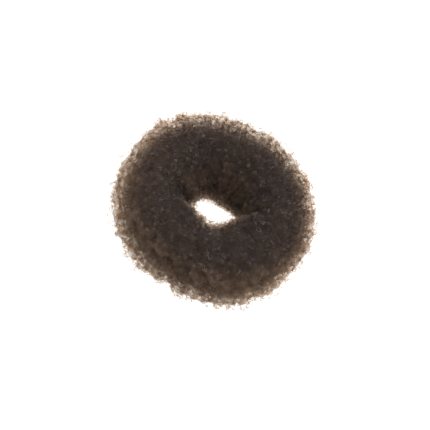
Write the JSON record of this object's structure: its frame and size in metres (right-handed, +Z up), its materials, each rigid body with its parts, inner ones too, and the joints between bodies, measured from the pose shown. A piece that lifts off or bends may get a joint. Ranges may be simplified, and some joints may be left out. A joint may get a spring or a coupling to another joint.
{
  "type": "hair donut bun maker",
  "caption": "Soft ring of crinkled nylon net, rolled on itself, that a ponytail is drawn through and wrapped over to shape a bun.",
  "frame": {"origin": "middle of the ring's width and depth, on the surface that the ring lies on", "axes": "+Z up through the hole, the ring's lowest dimension; +X towards the hole's pointed end; -Y towards the viewer"},
  "size_m": [0.0824, 0.08, 0.0322],
  "materials": {
    "brown_net": "matt"
  },
  "bodies": {
    "root": {"net_roll": "brown_net"}
  },
  "joints": []
}
